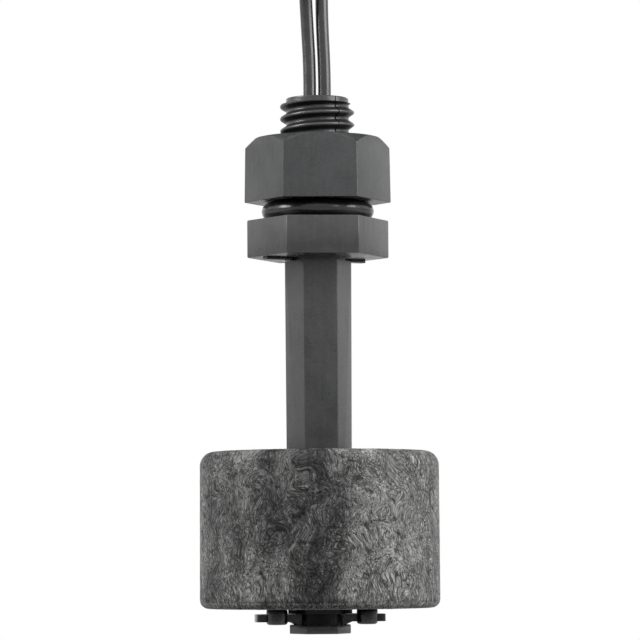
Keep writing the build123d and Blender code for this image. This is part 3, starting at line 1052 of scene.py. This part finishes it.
# %% Dark lines of the skin
loops_per_lump = 120.0
swirl = lumps(tree, flow, 2.6, stretch=(1, 1, 1.5), detail=1.5)
loops = computed(tree, "SINE", computed(tree, "MULTIPLY", swirl, loops_per_lump))
off_line = computed(tree, "ABSOLUTE", computed(tree, "SUBTRACT", streaks, 0.5))
dark = computed(tree, "MAXIMUM", outline, ranged(tree, loops, 0.7, 0.97, 0.0, 0.75))
# Painted shade: the creases of the relief are darkened, partly as the skin's own dark lines.
dark = computed(tree, "MAXIMUM", dark, attribute(tree, "crease"))
dark = computed(tree, "MAXIMUM", dark, ranged(tree, off_line, 0.035, 0.008, 0.0, 0.9))
print(len(tree.nodes), "nodes with the dark lines")

# %% Broad tones of the foam, with painted light and shade
# Painted light and shade: the +X side and the lower rim are painted paler, and a belt in front and the upper
# rim darker, as light and shade fall on the float.
blown = carried(tree, foam_finish.place, 6.0, 5.0, (0.02, 0.01, 0))
across = add_node(tree, "SeparateXYZ", {"Vector": blown}).outputs["X"]
painted_light_side = ranged(tree, across, 0.0012, 0.0055, 0.0, 0.83)
painted_shade_middle = -1.8 * MM
aside = computed(tree, "ABSOLUTE", computed(tree, "SUBTRACT", across, painted_shade_middle))
beside_painted_shade = ranged(tree, aside, 0.001, 0.0075, 0.0, 0.53)
painted_light_lower_rim = ranged(tree, height, -0.0485, -0.0488, 0.0, 1.2)
painted_shade_upper_rim = ranged(tree, height, -0.0322, -0.03, 0.0, -0.3)
lobe = ranged(tree, attribute(tree, "lobe"), 0.25, 0.8, 0.0, 0.35)
streaky = ranged(tree, streaks, 0.35, 0.65, -0.25, 0.25)
tone = ranged(tree, lumps(tree, flow, 4.4, stretch=(1, 1, 2.6), detail=1.5), 0.36, 0.62, 0.0, 1.1)
for part in (painted_light_side, beside_painted_shade, painted_light_lower_rim, painted_shade_upper_rim, lobe, streaky):
    tone = computed(tree, "ADD", tone, part)
tone = ranged(tree, tone, 0.3, 2.1)
print(len(tree.nodes), "nodes with the broad tones")

# %% Colour and relief of the foam
skin = blended(tree, tone, (0.024, 0.0245, 0.0245), (0.25, 0.252, 0.246))
bright = blended(tree, tone, (0.16, 0.16, 0.158), (0.62, 0.62, 0.6))
skin = blended(tree, ranged(tree, cell_tone, 0.6, 1.0, 0.0, 0.38), skin, bright)
skin = blended(tree, ranged(tree, fibres, 0.56, 0.7, 0.0, 0.58), skin, bright)
skin = blended(tree, ranged(tree, fibres, 0.45, 0.34, 0.0, 0.8), skin, (0.01, 0.01, 0.01))
skin = blended(tree, ranged(tree, dark, 0.1, 0.9, 0.0, 0.84), skin, (0.006, 0.006, 0.006))
foam_finish.set("Base Color", skin)
foam_finish.gloss(fibres, 0.3, 0.7, 0.66, 0.45)
foam_finish.set("Specular IOR Level", ranged(tree, dark, 0.0, 1.0, 0.3, 0.05))
cell_relief = foam_finish.relief(ranged(tree, to_edge, 0.0, 0.25), 0.022)
fibre_relief = foam_finish.relief(fibres, 0.035, cell_relief)
foam_finish.relief(grain, 0.02, fibre_relief)
give(foam_finish, float_drum)

# %% [markdown]
# ## Insulation, strap and resin
# The leads' insulation is black vinyl, drawn through a die, with a soft gloss and fine lines along the
# wire. The strap is black nylon. The resin is black epoxy, glossy, with dust and a few tiny bubbles.

# %% Insulation of the leads
wire_finish = Finish("black_vinyl", (0.018, 0.018, 0.0185), 0.22, Specular_IOR_Level=0.6)
scuffs = wire_finish.lumps(1.3, detail=4.0)
wire_finish.tones(scuffs, (0.014, 0.014, 0.0145), (0.026, 0.026, 0.0265), (0.35, 0.7))
wire_finish.gloss(scuffs, 0.35, 0.7, 0.2, 0.32)
wire_finish.relief(wire_finish.lumps(0.5, stretch=(1, 1, 8), detail=1.0), 0.002)
give(wire_finish, *[lead for lead, side, line in leads.values()])

# %% Strap and resin
strap_finish = moulded("strap_nylon", (0.012, 0.012, 0.012), (0.02, 0.02, 0.021), 0.38, (5, 1, 1), 0.22)
give(strap_finish, hank_strap)

resin_finish = Finish("black_epoxy", (0.012, 0.012, 0.0125), 0.16)
bubbles = add_node(resin_finish.tree, "TexVoronoi", {"Vector": resin_finish.place, "Scale": 1 / (0.7 * MM)})
pits = ranged(resin_finish.tree, bubbles.outputs["Distance"], 0.05, 0.16, 0.0, 1.0)
dust = ranged(resin_finish.tree, resin_finish.lumps(0.15, detail=4.0), 0.55, 0.8)
resin_finish.tones(dust, (0.01, 0.01, 0.0105), (0.045, 0.044, 0.042))
resin_finish.gloss(dust, 0.0, 1.0, 0.13, 0.5)
resin_finish.relief(pits, 0.03)
give(resin_finish, resin_plug)

# %% [markdown]
# ## Metal
# Tinned copper is soft, pale and a little yellow, with drawing lines along each strand. The reed's
# blades are a nickel-iron wire pressed flat. The solder is rounder and brighter, with dull patches
# where flux stayed on it. The parts that stay from the CAD model are inside the stem, and they get
# their finish on their own material slots.

# %% Metals
def drawn_metal(name, dark, light, roughness, stretch, line_width):
    """A metal with lines along the way it was drawn, and dull patches."""
    finish = Finish(name, light, roughness, Metallic=1.0)
    lines = finish.lumps(line_width, stretch=stretch, detail=3.0)
    patches = finish.lumps(0.9, detail=3.0)
    finish.tones(patches, dark, light, (0.35, 0.65))
    finish.gloss(lines, 0.3, 0.7, roughness - 0.08, roughness + 0.14)
    finish.relief(lines, 0.006)
    return finish


def two_of(name, ends=("left", "right")):
    """The two CAD nodes that share a name."""
    return [nodes[f"{name}_{end}"] for end in ends]


tinned = drawn_metal("tinned_copper", (0.5, 0.48, 0.44), (0.74, 0.72, 0.67), 0.28, (1, 1, 12), 0.12)
give(tinned, *tinned_ends.values(), *two_of("inner_conductor"))
blades = drawn_metal("nickel_iron", (0.46, 0.44, 0.4), (0.64, 0.62, 0.57), 0.3, (1, 1, 20), 0.1)
give(blades, *two_of("reed_blade", ("upper", "lower")))
joints = drawn_metal("solder_alloy", (0.42, 0.41, 0.38), (0.74, 0.74, 0.72), 0.24, (1, 1, 1), 0.35)
give(joints, *two_of("solder_joint"))

# %% [markdown]
# ## Inside the stem and the float
# The reed switch is a green-tinted glass capsule. Thin sleeves cover its returning lead and both
# joints. The ring magnet is grey ferrite with grinding lines on its faces and small chipped pores.

# %% Glass
glass_finish = Finish("green_glass", (0.82, 0.93, 0.86), 0.02, Transmission_Weight=1.0, IOR=1.49)
ripples = glass_finish.lumps(1.4, stretch=(1, 1, 3), detail=2.0)
glass_finish.tones(ripples, (0.76, 0.9, 0.81), (0.87, 0.95, 0.9), (0.3, 0.7))
glass_finish.gloss(ripples, 0.4, 0.7, 0.01, 0.06)
glass_finish.relief(ripples, 0.01)
give(glass_finish, nodes["reed_glass"])

# %% Sleeves and inner insulation
thin_sleeve = moulded("thin_sleeve", (0.6, 0.58, 0.52), (0.74, 0.72, 0.66), 0.4, (1, 1, 14), 0.15)
give(thin_sleeve, nodes["return_sleeve"])
shrunk = moulded("shrunk_sleeve", (0.014, 0.014, 0.015), (0.024, 0.024, 0.025), 0.42, (1, 1, 0.3), 0.3)
give(shrunk, *two_of("shrink_sleeve"))
give(wire_finish, *two_of("inner_lead"))

# %% Magnet
magnet_finish = Finish("ground_ferrite", (0.07, 0.07, 0.073), 0.5, Metallic=0.2)
ground = magnet_finish.lumps(0.18, stretch=(30, 1, 1), detail=3.0)
pores = ranged(magnet_finish.tree, magnet_finish.lumps(0.4, detail=4.0), 0.62, 0.7)
tones = blended(magnet_finish.tree, ground, (0.05, 0.05, 0.053), (0.1, 0.1, 0.104))
magnet_finish.set("Base Color", blended(magnet_finish.tree, pores, tones, (0.02, 0.02, 0.02)))
magnet_finish.gloss(ground, 0.3, 0.7, 0.4, 0.62)
magnet_finish.relief(ground, 0.01)
give(magnet_finish, nodes["magnet_ring"])

# %% [markdown]
# ## The studio
# The photo was taken in a bright white tent: a white background, and a broad lamp high up on each
# side, the right one larger and further round to the front. What the camera, the gloss and the glass
# see of the world is white. The light that it gives to dull surfaces is weaker, and comes mostly from
# above, so that colours come out about as they are written and the undersides stay dark. A grey
# paper floor lies well below the switch, out of the photo's frame, and shows its shadow in the other
# views. Further out the camera sees it turn white, so it has no edge. The photographer's side of the
# room is dark low down, and so is the ceiling at the back, and only the gloss shows them: the lower
# flanks of the thread and the short end at the bottom mirror the low one. Two dark cards that only
# glossy rays see stand there for them.

# %% World
world = bpy.data.worlds.new("white_tent")
bpy.context.scene.world = world
world.use_nodes = True
world_tree = world.node_tree
world_tree.nodes.clear()
rays = add_node(world_tree, "LightPath").outputs
seen = computed(world_tree, "MAXIMUM", rays["Is Camera Ray"], rays["Is Glossy Ray"])
seen = computed(world_tree, "MAXIMUM", seen, rays["Is Transmission Ray"])
upward = height_of(world_tree, add_node(world_tree, "TexCoord").outputs["Generated"])
from_above = ranged(world_tree, upward, -0.18, 0.6, 0.03, 0.8)
tent_light = add_node(world_tree, "Background", {"Color": (1, 1, 1, 1), "Strength": from_above})
tent_seen = add_node(world_tree, "Background", {"Color": (1, 1, 1, 1), "Strength": 1.0})
tent = add_node(world_tree, "MixShader", {0: seen, 1: tent_light.outputs["Background"],
                                          2: tent_seen.outputs["Background"]})
add_node(world_tree, "OutputWorld", {"Surface": tent.outputs["Shader"]})
print(world.name, "has", len(world_tree.nodes), "nodes")

# %% Lights
def softbox(name, place, size, power):
    """A rectangular lamp that looks at the middle of the switch."""
    data = bpy.data.lights.new(name, "AREA")
    data.shape = "RECTANGLE"
    data.size, data.size_y = size
    data.energy = power
    lamp = new_object(name, data)
    lamp.location = place
    lamp.rotation_mode = "QUATERNION"
    lamp.rotation_quaternion = (-Vector(place)).to_track_quat("-Z", "Y")
    return lamp


left_box = softbox("left_box", (-0.6, -0.16, 0.45), (0.32, 0.7), 6.6)
right_box = softbox("right_box", (0.6, -0.28, 0.38), (0.6, 0.74), 7.5)
bpy.context.scene.view_settings.view_transform = "Standard"
print("lamps of", left_box.data.energy, "and", right_box.data.energy, "W")

# %% Floor
floor_height = -0.13
floor_mesh = bmesh.new()
bmesh.ops.create_grid(floor_mesh, x_segments=4, y_segments=4, size=1.5)
floor = object_of(shifted(floor_mesh, (0, 0, floor_height)), "floor")
floor.visible_diffuse = False
paper = Finish("floor_paper", (0.54, 0.54, 0.54), 0.9, Specular_IOR_Level=0.1)
paper.tones(paper.lumps(2.0, detail=3.0), (0.52, 0.52, 0.52), (0.56, 0.56, 0.56))
far_off = ranged(paper.tree, from_axis(paper.tree, paper.place), 0.2, 0.6)
to_camera = add_node(paper.tree, "LightPath").outputs["Is Camera Ray"]
share = computed(paper.tree, "MULTIPLY", far_off, to_camera)
white = add_node(paper.tree, "Emission", {"Color": (1, 1, 1, 1), "Strength": 1.0}).outputs["Emission"]
faded = add_node(paper.tree, "MixShader", {0: share, 1: paper.shader.outputs["BSDF"], 2: white})
paper.tree.links.new(faded.outputs["Shader"], paper.tree.nodes["Material Output"].inputs["Surface"])
give(paper, floor)

# %% Dark sides of the room
low_card_height = -0.298
cloth = Finish("dark_cloth", (0.01, 0.01, 0.01), 1.0)
cloth.tones(cloth.lumps(60.0, detail=2.0), (0.008, 0.008, 0.008), (0.016, 0.016, 0.016))


def dark_card(name, size, place, tilt):
    """A dark card that only the gloss shows."""
    bm = bmesh.new()
    bmesh.ops.create_grid(bm, x_segments=2, y_segments=2, size=0.5)
    bmesh.ops.scale(bm, vec=(*size, 1), verts=bm.verts)
    card = object_of(shifted(rotated(bm, tilt, "X"), place), name)
    for ray in ("camera", "diffuse", "transmission", "volume_scatter", "shadow"):
        setattr(card, "visible_" + ray, False)
    return card


give(cloth, dark_card("low_card", (2, 0.5), (0, -0.5, low_card_height), 90),
     dark_card("ceiling_card", (1.6, 1.1), (0, 0.65, 0.6), 0))
